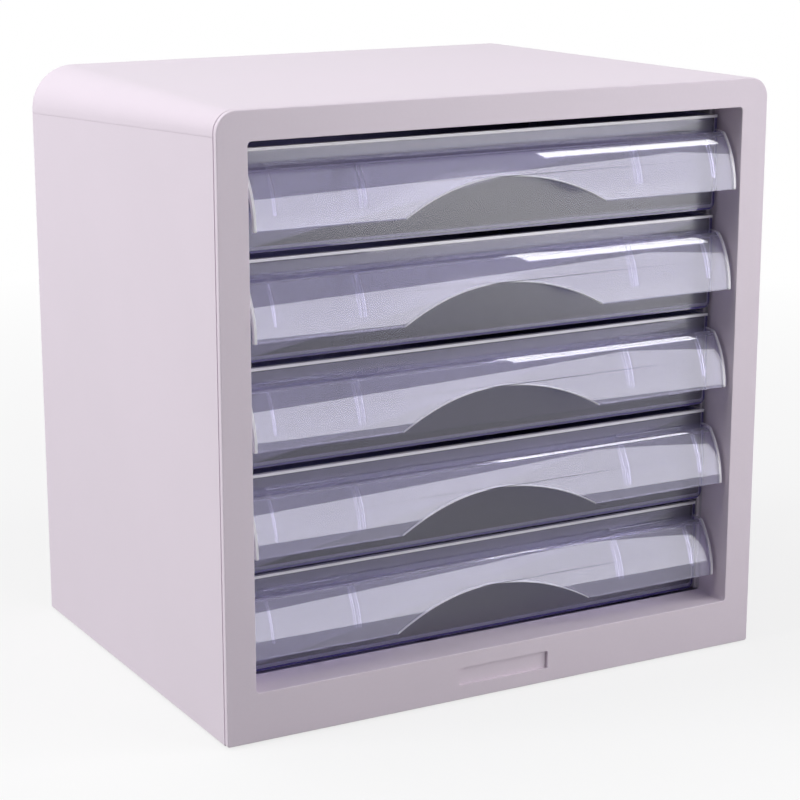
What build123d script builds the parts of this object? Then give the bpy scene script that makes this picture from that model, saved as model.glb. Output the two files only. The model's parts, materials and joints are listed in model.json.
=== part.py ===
from build123d import *
import os
from math import acos, degrees, sqrt

# Desktop drawer unit: a moulded case with five clear drawers that slide out.
# Millimetres. X runs to the right, Y to the back and Z up. The origin is the
# middle of the footprint, on the surface that the unit stands on.

# Drawers and their stack, made for A4 sheets laid crosswise
sheet_width = 297.0
sheet_slack = 2.0
drawer_count = 5
drawer_pitch = 58.4
front_plate_height = 54.8
front_plate_overlap = 1.2
front_plate_wall = 2.2
skirt_corner = 4.0

# Front frame
opening_side_gap = 2.5
sill_level = 29.0
head_gap = 6.1
head_rail = 16.2
stile_width = 17.5
jamb_depth = 26.0
jamb_wall = 2.0
opening_corner = 2.0
frame_rim = 4.0
frame_edge_chamfer = 0.8
opening_edge_chamfer = 0.5
parting_width = 1.0
parting_depth = 0.8
lip_wall = 1.5
lip_reach = 4.5

# Case shell
case_depth = 265.0
case_wall = 2.5
front_roll = 11.5
back_roll = 26.0
seam_flat = 2.0
seam_groove = 0.4
seam_lip_drop = 4.5
seam_lip_rise = 4.0
bottom_corner = 1.5
back_chamfer = 3.0
back_corner_inner = 2.0
back_return = 6.5
back_upstand = 14.0
back_panel_wall = 2.5
base_edge_chamfer = 0.6
base_rib_height = 6.0
base_rib_wall = 1.8
base_rib_count = 3

# Rubber feet
foot_proud = 1.2
foot_recess = 1.0
foot_diameter = 14.0
foot_inset_x = 22.5
foot_inset_y = 22.5

# Nameplate recess on the bottom rail, left bare
plate_recess_width = 59.0
plate_recess_height = 10.4
plate_recess_depth = 1.0
plate_recess_low = 9.6
plate_recess_corner = 0.8

# Runner racks
rack_wall = 2.2
rack_rib_wall = 1.8
rack_rib_count = 4
rack_rib_drop = 35.0
rack_top_drop = 20.0
ledge_width = 9.0
ledge_wall = 2.2
ledge_lead = 3.0
stop_rib_proud = 1.8
stop_rib_wall = 3.0
stop_rib_setback = 2.5
screw_boss_diameter = 8.0
screw_boss_length = 14.0
screw_boss_offset = 6.0
base_screw_inset = 42.0

# Self-tapping screws with a flat round head
screw_diameter = 2.9
screw_head_diameter = 5.6
screw_head_height = 1.2
screw_length = 10.0

# Drawer trays
tray_wall = 1.8
tray_floor = 2.0
tray_drop = 52.0
tray_inner_chamfer = 1.8
tray_outer_chamfer = 1.2
tray_back_corner = 6.0
rim_bead = 1.2
rim_bead_height = 2.0
front_bead = 0.6
front_bead_height = 1.6
stop_lug_proud = 2.9
stop_lug_height = 8.0
stop_lug_drop = 22.0
stop_lug_face = 3.0
stop_lug_ramp = 9.0

# Hooded pulls, clear mouldings that clip onto the drawer fronts
hood_depth = 20.3
hood_wall = 2.3
hood_start = 8.2
hood_end = 40.7
flange_depth = 8.3
flange_fall = 0.8
flange_round = 2.5
arch_width = 126.0
arch_height = 17.5
hood_rib_height = 2.2
hood_rib_reach = 22.0
outer_rib_inset = 14.0
outer_rib_wall = 1.2
inner_rib_inset = 65.5
inner_rib_gap = 3.0
inner_rib_wall = 0.9
clip_margin = 1.6
clip_wall = 1.9
clip_behind = 2.0
clip_hook = 1.2
clip_slack = 0.3

# Clearances, travel and rest places
fit_gap = 0.25
run_gap = 0.3
hole_gap = 0.1
drawer_travel = 185.0
closed_setback = 29.2
rest_out = (8.9, 7.4, 5.9, 5.4, 0.0)

# Places that follow from the sizes
tray_width = sheet_width + sheet_slack + 2 * tray_wall
front_plate_width = tray_width + 2 * front_plate_overlap
opening_width = front_plate_width + 2 * opening_side_gap
case_width = opening_width + 2 * stile_width
bottom_rim = sill_level + run_gap + front_plate_height
top_rim = bottom_rim + (drawer_count - 1) * drawer_pitch
opening_top = top_rim + head_gap
case_height = opening_top + head_rail
half_width = case_width / 2
half_opening = opening_width / 2
y_front = -case_depth / 2
y_back = case_depth / 2
z_bottom = foot_proud
shell_front = y_front + frame_rim
jamb_end = y_front + jamb_depth
panel_back = y_back - case_wall - run_gap
panel_front = panel_back - back_panel_wall
base_top = z_bottom + case_wall
side_inner = half_width - case_wall
return_edge = half_width - back_return
closed_face = y_front + closed_setback
tray_length = panel_front - run_gap - closed_face
half_plate = front_plate_width / 2
half_tray = tray_width / 2
outer_rib_place = half_plate - outer_rib_inset
inner_rib_place = half_plate - inner_rib_inset
roll_slope = (back_roll - front_roll) / (y_back - shell_front)
rack_outer = half_opening + rack_wall
rack_rib_top = case_height - rack_rib_drop
rack_top = case_height - rack_top_drop
screw_line = half_opening + screw_boss_offset
stop_rib_front = jamb_end + stop_rib_setback
stop_rib_back = stop_rib_front + stop_rib_wall
standing = (Align.CENTER, Align.CENTER, Align.MIN)


def block(x, y, z):
    """A box between two limits on each axis."""
    size = Box(x[1] - x[0], y[1] - y[0], z[1] - z[0])
    return Pos((x[0] + x[1]) / 2, (y[0] + y[1]) / 2, (z[0] + z[1]) / 2) * size


def front_shape(outline, y_from, y_to):
    """A shape drawn in X and Z, carried from one depth to another."""
    return extrude(Plane.XZ.offset(-y_to) * outline, amount=y_to - y_from)


def side_shape(outline, x_from, x_to):
    """A shape drawn in Y and Z, carried across the width."""
    return extrude(Plane.YZ.offset(x_from) * outline, amount=x_to - x_from)


def other_side(shape):
    """The left-hand copy of a right-hand shape."""
    return mirror(shape, about=Plane.YZ)


def both_sides(shape):
    """A right-hand shape with its left-hand copy."""
    return shape + other_side(shape)


def spaced(first, last, count):
    """Even places from the first to the last."""
    if count < 2:
        return [(first + last) / 2]
    step = (last - first) / (count - 1)
    return [first + i * step for i in range(count)]


def one_solid(shape):
    """The single solid of a finished moulding."""
    return shape.solids().sort_by(SortBy.VOLUME)[-1]


# Outline of the case


def roll_line(y):
    """Level where the rolled long edge of the case meets its upright side."""
    return case_height - front_roll - roll_slope * (y - shell_front)


def seam_at(y):
    """Level of the seam between the top cover and a side panel."""
    return roll_line(y) - seam_flat


def between_lines(y, low, high, x):
    """A piece across the width between two lines that run parallel to the seam."""
    corners = [(y[0], low + roll_line(y[0])), (y[1], low + roll_line(y[1]))]
    corners += [(y[1], high + roll_line(y[1])), (y[0], high + roll_line(y[0]))]
    return side_shape(make_face(Polyline(*corners, close=True)), x[0], x[1])


def rounded_top(inset, roll, low, low_corner=0.0):
    """Outline of the case seen from the front, inset evenly, down to a level."""
    high = case_height - inset
    outline = Pos(0, (high + low) / 2) * Rectangle(case_width - 2 * inset, high - low)
    outline = fillet(outline.vertices().sort_by(Axis.Y)[-2:], roll - inset)
    if low_corner > 0:
        outline = chamfer(outline.vertices().sort_by(Axis.Y)[:2], low_corner)
    return outline


def frame_outline(inset, corner=0.0):
    """Outline of the front frame, inset evenly."""
    return rounded_top(inset, front_roll, z_bottom + inset, corner)


def opening_outline():
    """Outline of the opening for the drawers."""
    middle = (opening_top + sill_level) / 2
    return Pos(0, middle) * RectangleRounded(opening_width, opening_top - sill_level, opening_corner)


def make_front_frame():
    """Face, short outer rim, parting groove, locating lip and deep jambs."""
    window = opening_outline()
    groove_start = shell_front - parting_width
    inner = frame_outline(case_wall)
    outer = frame_outline(0, bottom_corner)
    frame = front_shape(outer - window, y_front, y_front + case_wall)
    frame += front_shape(outer - inner, y_front, groove_start)
    frame += front_shape(frame_outline(parting_depth) - inner, groove_start, shell_front)
    lip = frame_outline(case_wall + fit_gap) - frame_outline(case_wall + fit_gap + lip_wall)
    frame += front_shape(lip, y_front + case_wall, shell_front + lip_reach)
    jamb_height = opening_top - sill_level + 2 * jamb_wall
    jamb = Pos(0, (opening_top + sill_level) / 2) * Rectangle(opening_width + 2 * jamb_wall, jamb_height)
    frame += front_shape(jamb - window, y_front, jamb_end)
    face = frame.faces().sort_by(Axis.Y)[0]
    frame = chamfer(face.outer_wire().edges(), frame_edge_chamfer)
    face = frame.faces().sort_by(Axis.Y)[0]
    frame = chamfer(face.inner_wires()[0].edges(), opening_edge_chamfer)
    recess = RectangleRounded(plate_recess_width, plate_recess_height, plate_recess_corner)
    recess = Pos(0, plate_recess_low + plate_recess_height / 2) * recess
    frame -= front_shape(recess, y_front, y_front + plate_recess_depth)
    return one_solid(frame)


def rolled_edge(inset, y):
    """Solid sector of the slim cone that rolls a long edge over, right-hand side."""
    half = half_width - inset
    top = case_height - inset
    apex = Vector(half, shell_front - (front_roll - inset) / roll_slope, top)
    sine = roll_slope / sqrt(1 + 2 * roll_slope ** 2)
    along = Vector(-sine, sqrt(1 - 2 * sine ** 2), -sine)
    corners = []
    for place in y:
        on_side = Vector(half, place, top - (place - apex.Y) * roll_slope)
        corners.append(on_side)
        corners.append(apex + along * (on_side - apex).dot(along))
    profile = make_face(Polyline(corners[0], corners[2], corners[3], corners[1], close=True))
    sweep = degrees(acos(-sine ** 2 / (1 - sine ** 2)))
    return revolve(profile, Axis(apex, along * -1), revolution_arc=sweep)


def rolled_body(inset, drop, y):
    """Solid under the rolled top of the case, inset evenly, down to a line along the seam."""
    half = half_width - inset
    top = case_height - inset
    longer = (y[0] - case_wall, y[1] + 4 * case_wall)
    flats = [half - (top - roll_line(place)) for place in longer]
    corners = [(-flats[0], longer[0]), (flats[0], longer[0]), (flats[1], longer[1]), (-flats[1], longer[1])]
    low = roll_line(longer[1]) - drop
    body = Pos(0, 0, low) * extrude(make_face(Polyline(*corners, close=True)), amount=top - low)
    body += between_lines(longer, -drop, 0, (-half, half))
    body += both_sides(rolled_edge(inset, longer))
    body -= between_lines(longer, -drop - 2 * case_height, -drop, (-case_width, case_width))
    return body & block((-case_width, case_width), y, (0, 2 * case_height))


def seam_line():
    """Fine groove along the right-hand seam, half in the cover and half in the panel."""
    start = shell_front - case_wall
    side = seam_groove * sqrt(2)
    diamond = Pos(half_width, seam_at(start)) * Rot(0, 0, 45) * Rectangle(side, side)
    reach = (case_depth + case_wall) * sqrt(1 + roll_slope ** 2)
    return extrude(Plane.XZ.offset(-start) * diamond, amount=reach, dir=Vector(0, 1, -roll_slope))


def make_top_cover():
    """Shell whose long edges roll over at a radius that grows from front to back."""
    cover = rolled_body(0, seam_flat, (shell_front, y_back))
    back = cover.faces().sort_by(Axis.Y)[-1]
    back_edges = [e for e in back.edges() if e.center().Z > seam_at(y_back) + seam_flat / 4]
    cover = chamfer(back_edges, back_chamfer)
    cover -= rolled_body(case_wall, seam_flat + case_wall, (shell_front - case_wall, y_back - case_wall))
    ends = (shell_front + lip_reach + fit_gap, panel_front - run_gap)
    outer = side_inner - fit_gap
    inner = outer - lip_wall
    root = side_inner + hole_gap
    lip = between_lines(ends, -seam_flat - seam_lip_drop, seam_lip_rise, (inner, outer))
    lip += between_lines(ends, -seam_flat, seam_lip_rise - lip_wall, (inner, root))
    cover += both_sides(lip)
    cover -= both_sides(seam_line())
    return one_solid(cover)


def space_over_seam():
    """Everything over the sloping seam, across the whole width."""
    ends = (shell_front - case_wall, y_back + case_wall)
    return between_lines(ends, -seam_flat, case_height, (-case_width, case_width))


def make_side_panel():
    """Right-hand panel with a return at the back, cut off at the seam."""
    wall_part = block((side_inner, half_width), (shell_front, y_back), (z_bottom, case_height))
    return_part = block((return_edge, half_width), (y_back - case_wall, y_back), (z_bottom, case_height))
    panel = wall_part + return_part
    upright = panel.edges().filter_by(Axis.Z)
    outer = upright.filter_by(lambda e: e.center().X > side_inner and e.center().Y > panel_back + case_wall)
    panel = chamfer(outer, back_chamfer)
    upright = panel.edges().filter_by(Axis.Z)
    inner = upright.filter_by(lambda e: abs(e.center().X - side_inner) < hole_gap)
    panel = fillet(inner.filter_by(lambda e: e.center().Y > panel_front), back_corner_inner)
    low_edges = panel.edges().group_by(Axis.Z)[0]
    low_outer = low_edges.filter_by(lambda e: e.center().X > half_width - hole_gap)
    panel = chamfer(low_outer, base_edge_chamfer)
    panel -= space_over_seam()
    panel -= seam_line()
    return one_solid(panel)


def foot_places():
    """Middles of the four feet."""
    x = half_width - foot_inset_x
    y = case_depth / 2 - foot_inset_y
    return [Pos(i * x, j * y, 0) for i in (-1, 1) for j in (-1, 1)]


def make_screw():
    """One self-tapping screw with a plain shank, the top of its head at z = 0."""
    head = Cylinder(screw_head_diameter / 2, screw_head_height, align=standing)
    return head + Cylinder(screw_diameter / 2, screw_length, align=standing)


def make_screw_hole():
    """Counterbored space for one screw, with a little clearance all round."""
    head = Cylinder(screw_head_diameter / 2 + hole_gap, screw_head_height, align=standing)
    return head + Cylinder(screw_diameter / 2 + hole_gap, screw_length + hole_gap, align=standing)


def base_screw_places():
    """Places of the screws that go up through the base into the racks."""
    y = case_depth / 2 - base_screw_inset
    return [Pos(i * screw_line, j * y, z_bottom) for i in (-1, 1) for j in (-1, 1)]


def make_base_panel():
    """Floor of the case with ribs, a rear upstand, foot recesses and screw holes."""
    half = side_inner - fit_gap
    tongue = return_edge - fit_gap
    base = block((-half, half), (shell_front, y_back - case_wall - fit_gap), (z_bottom, base_top))
    base = chamfer(base.edges().filter_by(Axis.Z).group_by(Axis.Y)[-1], back_corner_inner)
    base += block((-tongue, tongue), (panel_front, y_back), (z_bottom, base_top))
    base += block((-tongue, tongue), (y_back - case_wall, y_back), (z_bottom, back_upstand))
    back_edge = base.edges().filter_by(Axis.X).group_by(Axis.Z)[0].sort_by(Axis.Y)[-1]
    base = chamfer(back_edge, base_edge_chamfer)
    reach = half_opening - base_rib_wall
    ends = (shell_front + lip_reach + case_wall, panel_front - case_wall)
    levels = (base_top - hole_gap, base_top + base_rib_height)
    for x in spaced(-reach, reach, base_rib_count):
        base += block((x - base_rib_wall / 2, x + base_rib_wall / 2), ends, levels)
    for y in spaced(ends[0], ends[1], base_rib_count):
        base += block((-reach, reach), (y - base_rib_wall / 2, y + base_rib_wall / 2), levels)
    for place in foot_places():
        pocket = Cylinder(foot_diameter / 2 + hole_gap, 2 * foot_recess)
        base -= place * Pos(0, 0, z_bottom) * pocket
    for place in base_screw_places():
        base -= place * make_screw_hole()
    return one_solid(base)


def make_back_panel():
    """Panel that slides down between the side returns and the racks."""
    inset = case_wall + back_corner_inner / 2 + run_gap
    roll = case_height - roll_line(panel_back)
    return one_solid(front_shape(rounded_top(inset, roll, base_top), panel_front, panel_back))


def rim_level(number):
    """Level of the rim of one drawer, counted from the top."""
    return bottom_rim + (drawer_count - number) * drawer_pitch


def make_rack():
    """Right-hand rack: liner wall, stand-off ribs, five ledges, stop rib and bosses."""
    rack = block((half_opening, rack_outer), (jamb_end, panel_front), (base_top, rack_top))
    first = jamb_end + base_rib_wall
    last = panel_front - 2 * rack_rib_wall
    for y in spaced(first, last, rack_rib_count):
        across = (rack_outer - hole_gap, side_inner)
        rack += block(across, (y, y + rack_rib_wall), (base_top, rack_rib_top))
    ledge_front = closed_face + front_plate_wall + run_gap
    ledge_inner = half_opening - ledge_width
    outline = [
        (half_opening + hole_gap, ledge_front),
        (ledge_inner + ledge_lead, ledge_front),
        (ledge_inner, ledge_front + ledge_lead),
        (ledge_inner, panel_front),
        (half_opening + hole_gap, panel_front),
    ]
    ledge = extrude(make_face(Polyline(*outline, close=True)), amount=ledge_wall)
    for number in range(1, drawer_count + 1):
        top = rim_level(number) - tray_drop - run_gap
        rack += Pos(0, 0, top - ledge_wall) * ledge
    stop = (half_opening - stop_rib_proud, half_opening + hole_gap)
    rack += block(stop, (stop_rib_front, stop_rib_back), (sill_level + run_gap, rack_top))
    boss = Cylinder(screw_boss_diameter / 2, screw_boss_length, align=standing)
    for place in base_screw_places()[2:]:
        rack += place * Pos(0, 0, case_wall) * boss
        rack -= place * make_screw_hole()
    return one_solid(rack)


def make_foot():
    """One round rubber pad."""
    return Cylinder(foot_diameter / 2, foot_proud + foot_recess, align=standing)


# One drawer, with its rim at z = 0 and the face of its front plate at y = 0


def clip_space(slack):
    """The room of one clip where it passes the front plate, right-hand side."""
    x = (inner_rib_place + inner_rib_gap / 2 + clip_margin, outer_rib_place - clip_margin)
    top = -hood_start - (hood_wall - clip_wall) / 2
    z = (top - clip_wall - clip_hook - slack, top + slack)
    return block((x[0] - slack, x[1] + slack), (-slack, front_plate_wall + slack), z)


def make_tray():
    """Clear tray: front plate with a skirt, walls, floor, rim bead and stop lugs."""
    plate = Pos(0, -front_plate_height / 2) * Rectangle(front_plate_width, front_plate_height)
    plate = fillet(plate.vertices().sort_by(Axis.Y)[:2], skirt_corner)
    tray = front_shape(plate, 0, front_plate_wall)
    back = tray_length - rim_bead
    tub = block((-half_tray, half_tray), (front_plate_wall / 2, back), (-tray_drop, 0))
    tub = fillet(tub.edges().filter_by(Axis.Z).group_by(Axis.Y)[-1], tray_back_corner)
    tub = chamfer(tub.edges().group_by(Axis.Z)[0], tray_outer_chamfer)
    tray += tub
    bead_reach = half_tray + rim_bead
    bead = block((-bead_reach, bead_reach), (front_plate_wall, tray_length), (-rim_bead_height, 0))
    tray += fillet(bead.edges().filter_by(Axis.Z).group_by(Axis.Y)[-1], tray_back_corner + rim_bead)
    half = half_tray - tray_wall
    hollow = block((-half, half), (front_plate_wall, back - tray_wall), (tray_floor - tray_drop, rim_bead))
    hollow = fillet(hollow.edges().filter_by(Axis.Z).group_by(Axis.Y)[-1], tray_back_corner - tray_wall)
    hollow = chamfer(hollow.edges().group_by(Axis.Z)[0], tray_inner_chamfer)
    tray -= hollow
    tray += block((-half_plate, half_plate), (-front_bead, front_plate_wall / 2), (-front_bead_height, 0))
    tray += both_sides(make_stop_lug())
    tray -= both_sides(clip_space(clip_slack))
    return one_solid(tray)


def make_stop_lug():
    """Lug on a tray wall: a square face to the front and a ramp to the back."""
    front = drawer_travel + stop_rib_back + run_gap - closed_face
    root = half_tray - hole_gap
    tip = half_tray + stop_lug_proud
    outline = [
        (root, front),
        (tip, front),
        (tip, front + stop_lug_face),
        (root, front + stop_lug_face + stop_lug_ramp),
    ]
    lug = extrude(make_face(Polyline(*outline, close=True)), amount=stop_lug_height)
    return Pos(0, 0, -stop_lug_drop - stop_lug_height) * lug


def hood_arc_radius():
    """Radius of the hood's outer arc, upright at its lower edge."""
    rise = hood_end - hood_start - flange_fall
    reach = hood_depth - flange_depth
    return (rise * rise + reach * reach) / (2 * reach)


def hood_arc_place(inset, level):
    """How far the hood's arc, inset by a wall, stands out at a level."""
    radius = hood_arc_radius()
    up = level + hood_end
    return hood_depth - radius + sqrt((radius - inset) ** 2 - up * up)


def hood_profile():
    """Section of the hood: a flange off the drawer's front and a convex arc down."""
    flange_top = -hood_start - flange_fall
    flange_low = flange_top - hood_wall
    inner_corner = hood_arc_place(hood_wall, flange_low)
    lower_outer = (-hood_depth, -hood_end)
    lower_inner = (-(hood_depth - hood_wall), -hood_end)
    outer_corner = (-flange_depth, flange_top)
    section = [
        Line((0, -hood_start), outer_corner),
        TangentArc(lower_outer, outer_corner, tangent=(0, 1)),
        Line(lower_outer, lower_inner),
        TangentArc(lower_inner, (-inner_corner, flange_low), tangent=(0, 1)),
        Line((-inner_corner, flange_low), (0, -hood_start - hood_wall)),
        Line((0, -hood_start - hood_wall), (0, -hood_start)),
    ]
    profile = make_face(section)
    corner = profile.vertices().sort_by_distance(outer_corner)[0]
    return fillet(corner, flange_round)


def hood_rib(middle, wall_width):
    """A low rib that follows the inside of the hood from its flange down."""
    flange_low = -hood_start - flange_fall - hood_wall
    end = flange_low - hood_rib_reach
    start_place = hood_arc_place(hood_wall, flange_low)
    end_place = hood_arc_place(hood_wall, end)
    mid_level = (flange_low + end) / 2
    inner_edge = -start_place + hood_rib_height
    section = [
        ThreePointArc(
            (-start_place, flange_low + hood_wall / 2),
            (-hood_arc_place(hood_wall / 2, mid_level), mid_level),
            (-end_place - hood_wall / 2, end),
        ),
        Line((-end_place - hood_wall / 2, end), (-end_place, end)),
        ThreePointArc(
            (-end_place, end),
            (-hood_arc_place(hood_wall + hood_rib_height, mid_level), mid_level),
            (inner_edge, flange_low),
        ),
        Line((inner_edge, flange_low), (inner_edge, flange_low + hood_wall / 2)),
        Line((inner_edge, flange_low + hood_wall / 2), (-start_place, flange_low + hood_wall / 2)),
    ]
    return side_shape(make_face(section), middle - wall_width / 2, middle + wall_width / 2)


def make_clip():
    """Hooked clip that passes through the front plate, right-hand side."""
    x = (inner_rib_place + inner_rib_gap / 2 + clip_margin, outer_rib_place - clip_margin)
    top = -hood_start - (hood_wall - clip_wall) / 2
    end = front_plate_wall + clip_behind
    clip = block(x, (-hood_wall / 2, end), (top - clip_wall, top))
    hook = block(x, (front_plate_wall + run_gap, end), (top - clip_wall - clip_hook, top))
    return clip + hook


def make_pull():
    """Clear hooded pull with an arched cut-out, ribs and two clips."""
    pull = side_shape(hood_profile(), -half_plate, half_plate)
    half = arch_width / 2
    radius = (half * half + arch_height * arch_height) / (2 * arch_height)
    arch = Pos(0, -hood_end + arch_height - radius) * Circle(radius)
    pull -= front_shape(arch, -2 * hood_depth, -flange_depth)
    details = hood_rib(outer_rib_place, outer_rib_wall)
    for side in (-1, 1):
        details += hood_rib(inner_rib_place + side * inner_rib_gap / 2, inner_rib_wall)
    details += make_clip()
    pull += both_sides(details)
    return one_solid(pull)


def build():
    """Every node of the unit, by name."""
    side_panel = make_side_panel()
    rack = make_rack()
    tray = make_tray()
    pull = make_pull()
    screw = make_screw()
    nodes = {
        "front_frame": make_front_frame(),
        "top_cover": make_top_cover(),
        "right_side_panel": side_panel,
        "left_side_panel": other_side(side_panel),
        "base_panel": make_base_panel(),
        "back_panel": make_back_panel(),
        "right_runner_rack": rack,
        "left_runner_rack": other_side(rack),
        "rubber_feet": Compound([place * make_foot() for place in foot_places()]),
        "base_screws": Compound([place * screw for place in base_screw_places()]),
    }
    for number in range(1, drawer_count + 1):
        out = rest_out[number - 1] if number <= len(rest_out) else 0.0
        place = Pos(0, closed_face - out, rim_level(number))
        nodes[f"drawer_tray_{number}"] = place * tray
        nodes[f"drawer_pull_{number}"] = place * pull
    return nodes


os.makedirs("parts", exist_ok=True)
for name, shape in build().items():
    shape.label = name
    export_step(shape, f"parts/{name}.step")
    print(name, round(shape.volume, 1))
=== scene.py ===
# %% [markdown]
# # A desktop drawer unit in moulded plastic
# The unit is a pale case with a deep picture-frame front and five clear drawers, each with
# a curved clear hood as its pull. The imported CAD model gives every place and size, and this
# lesson builds the finished surfaces round it: soft edges, thin clear walls, and plastics
# that look like plastics. Everything is in metres: X to the right, Y to the back and Z up.

# %% Load the fixed frame
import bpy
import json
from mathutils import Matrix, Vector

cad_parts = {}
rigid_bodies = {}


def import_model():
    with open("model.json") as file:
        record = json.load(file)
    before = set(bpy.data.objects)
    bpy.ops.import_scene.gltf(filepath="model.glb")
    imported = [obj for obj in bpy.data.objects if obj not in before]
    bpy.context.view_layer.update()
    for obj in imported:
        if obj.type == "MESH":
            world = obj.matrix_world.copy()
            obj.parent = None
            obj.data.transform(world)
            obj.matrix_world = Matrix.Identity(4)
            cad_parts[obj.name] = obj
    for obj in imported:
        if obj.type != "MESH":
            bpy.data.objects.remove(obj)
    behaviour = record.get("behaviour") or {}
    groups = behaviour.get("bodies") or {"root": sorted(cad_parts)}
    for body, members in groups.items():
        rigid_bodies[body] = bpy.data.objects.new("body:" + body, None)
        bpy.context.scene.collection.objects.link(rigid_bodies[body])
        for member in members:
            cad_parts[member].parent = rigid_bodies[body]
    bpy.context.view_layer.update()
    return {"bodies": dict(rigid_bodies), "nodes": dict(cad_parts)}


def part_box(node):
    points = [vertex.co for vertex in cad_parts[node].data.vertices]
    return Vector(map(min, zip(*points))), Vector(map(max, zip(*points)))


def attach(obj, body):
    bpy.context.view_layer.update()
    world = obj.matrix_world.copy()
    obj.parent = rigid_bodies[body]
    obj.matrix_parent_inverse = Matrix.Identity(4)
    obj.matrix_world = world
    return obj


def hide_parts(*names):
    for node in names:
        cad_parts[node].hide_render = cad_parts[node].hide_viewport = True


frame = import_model()

# %% [markdown]
# ## Numbers first
# A piece that replaces a CAD node has to stay where that node is. So the sizes that several
# pieces share are named here once, in millimetres, and `mm` turns them into metres. A size
# that only one piece needs is named in the cell of that piece.

# %% Sizes that the pieces share
import json
from contextlib import contextmanager
from math import asin, pi, radians, sqrt

import bmesh
import bpy
from mathutils import Quaternion, Vector

mm = 0.001
case_half = 172.5
case_top = 340.0
case_low = 1.2
front_y = -132.5
shell_y = -128.5
back_y = 132.5
front_corner = 11.5
drawers = [name for name in frame["bodies"] if name.startswith("drawer")]
print("drawers that slide:", sorted(drawers))

# %% [markdown]
# ## The camera
# The photograph was taken from the left and from above, with a long lens: the front is seen
# from 29 degrees round, and the camera looks down by 14 degrees. A long lens from more than
# a metre away keeps the edges nearly parallel, as a catalogue picture does.

# %% Place the camera
camera_round = 29.18
camera_down = 13.97
camera_data = bpy.data.cameras.new("studio_camera")
camera_data.sensor_width = 36
camera_data.lens = 101.48
camera = bpy.data.objects.new("studio_camera", camera_data)
camera.location = (-0.6387, -1.1554, 0.4712)
camera.rotation_euler = (radians(90 - camera_down), 0, radians(-camera_round))
bpy.context.collection.objects.link(camera)
bpy.context.scene.camera = camera
bpy.context.scene.view_settings.view_transform = "Standard"
print("lens", camera_data.lens, "mm")

# %% [markdown]
# ## Light
# Clear plastic shows what it reflects. The hoods carry one broad pale band, which is a large
# softbox close by at the front right, reflected in their curve. The white line along the top
# of each hood is a small box high up on the right, turned so that a corner points down, and
# a dim box on the right picks out the ends. A large box overhead lights the top, and one on
# the left lights the long side. The boxes aren't seen by the camera itself.

# %% A softbox is an area light with a given brightness
def softbox(name, place, target, width, height, radiance, turn=0):
    """An area light that faces a target; radiance 1 looks as bright as white."""
    light = bpy.data.lights.new(name, "AREA")
    light.shape = "RECTANGLE"
    light.size = width
    light.size_y = height
    light.energy = radiance * pi * width * height
    box = bpy.data.objects.new(name, light)
    box.location = place
    facing = (Vector(target) - Vector(place)).to_track_quat("-Z", "Y")
    box.rotation_euler = (facing @ Quaternion((0, 0, 1), radians(turn))).to_euler()
    box.visible_camera = False
    bpy.context.collection.objects.link(box)
    print(name, round(light.energy, 1), "W")


softbox("softbox_front_right", (0.444, -0.873, 0.45), (-0.362, -0.473, 0.45), 0.62, 0.76, 3.2,
        turn=-5)
softbox("softbox_high_right", (1.07, -0.68, 1.5), (0.13, -0.13, 0.3), 0.42, 0.37, 9.5, turn=45)
softbox("softbox_right", (1.3, -0.75, 0.5), (0.0, -0.13, 0.3), 0.5, 0.9, 2.2)
softbox("softbox_top", (-0.5, 0.25, 1.9), (-0.1, 0.05, 0.3), 1.4, 1.3, 2.6)
softbox("softbox_left", (-1.9, 0.2, 0.95), (0.0, 0.0, 0.2), 1.0, 1.5, 5.6)

# %% [markdown]
# ## World and floor
# The background is white because the camera, and whatever is mirrored or seen through clear
# plastic, finds a white world. Light that reaches the object from that world is much weaker,
# so the white isn't extra light. The floor uses the same trick, mixed with a plain pale
# surface that keeps the soft shadow under the case.

# %% Helpers for shader nodes
def link(tree, start, end):
    """Joins two sockets."""
    tree.links.new(start, end)


def add_node(tree, kind, values=None, **settings):
    """A node with its settings and its socket values."""
    node = tree.nodes.new(kind)
    for key, value in settings.items():
        setattr(node, key, value)
    for key, value in (values or {}).items():
        node.inputs[key].default_value = value
    return node


def seen_directly(tree):
    """1 for camera, mirror and see-through rays, 0 for rays that only carry light."""
    path = add_node(tree, "ShaderNodeLightPath")
    either = add_node(tree, "ShaderNodeMath", operation="MAXIMUM")
    all_three = add_node(tree, "ShaderNodeMath", operation="MAXIMUM")
    link(tree, path.outputs["Is Camera Ray"], either.inputs[0])
    link(tree, path.outputs["Is Glossy Ray"], either.inputs[1])
    link(tree, either.outputs[0], all_three.inputs[0])
    link(tree, path.outputs["Is Transmission Ray"], all_three.inputs[1])
    return all_three.outputs[0]


# %% A world that is white to look at and dim as a light
world = bpy.data.worlds.new("studio_world")
world.use_nodes = True
bpy.context.scene.world = world
sky = world.node_tree
sky.nodes.clear()
dim_light = add_node(sky, "ShaderNodeBackground", {"Color": (0.93, 0.94, 1.0, 1), "Strength": 0.17})
white_view = add_node(sky, "ShaderNodeBackground", {"Color": (1, 1, 1, 1), "Strength": 1.0})
choose = add_node(sky, "ShaderNodeMixShader")
sky_out = add_node(sky, "ShaderNodeOutputWorld")
link(sky, seen_directly(sky), choose.inputs[0])
link(sky, dim_light.outputs[0], choose.inputs[1])
link(sky, white_view.outputs[0], choose.inputs[2])
link(sky, choose.outputs[0], sky_out.inputs["Surface"])
print("world ready, light strength", dim_light.inputs["Strength"].default_value)

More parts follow.
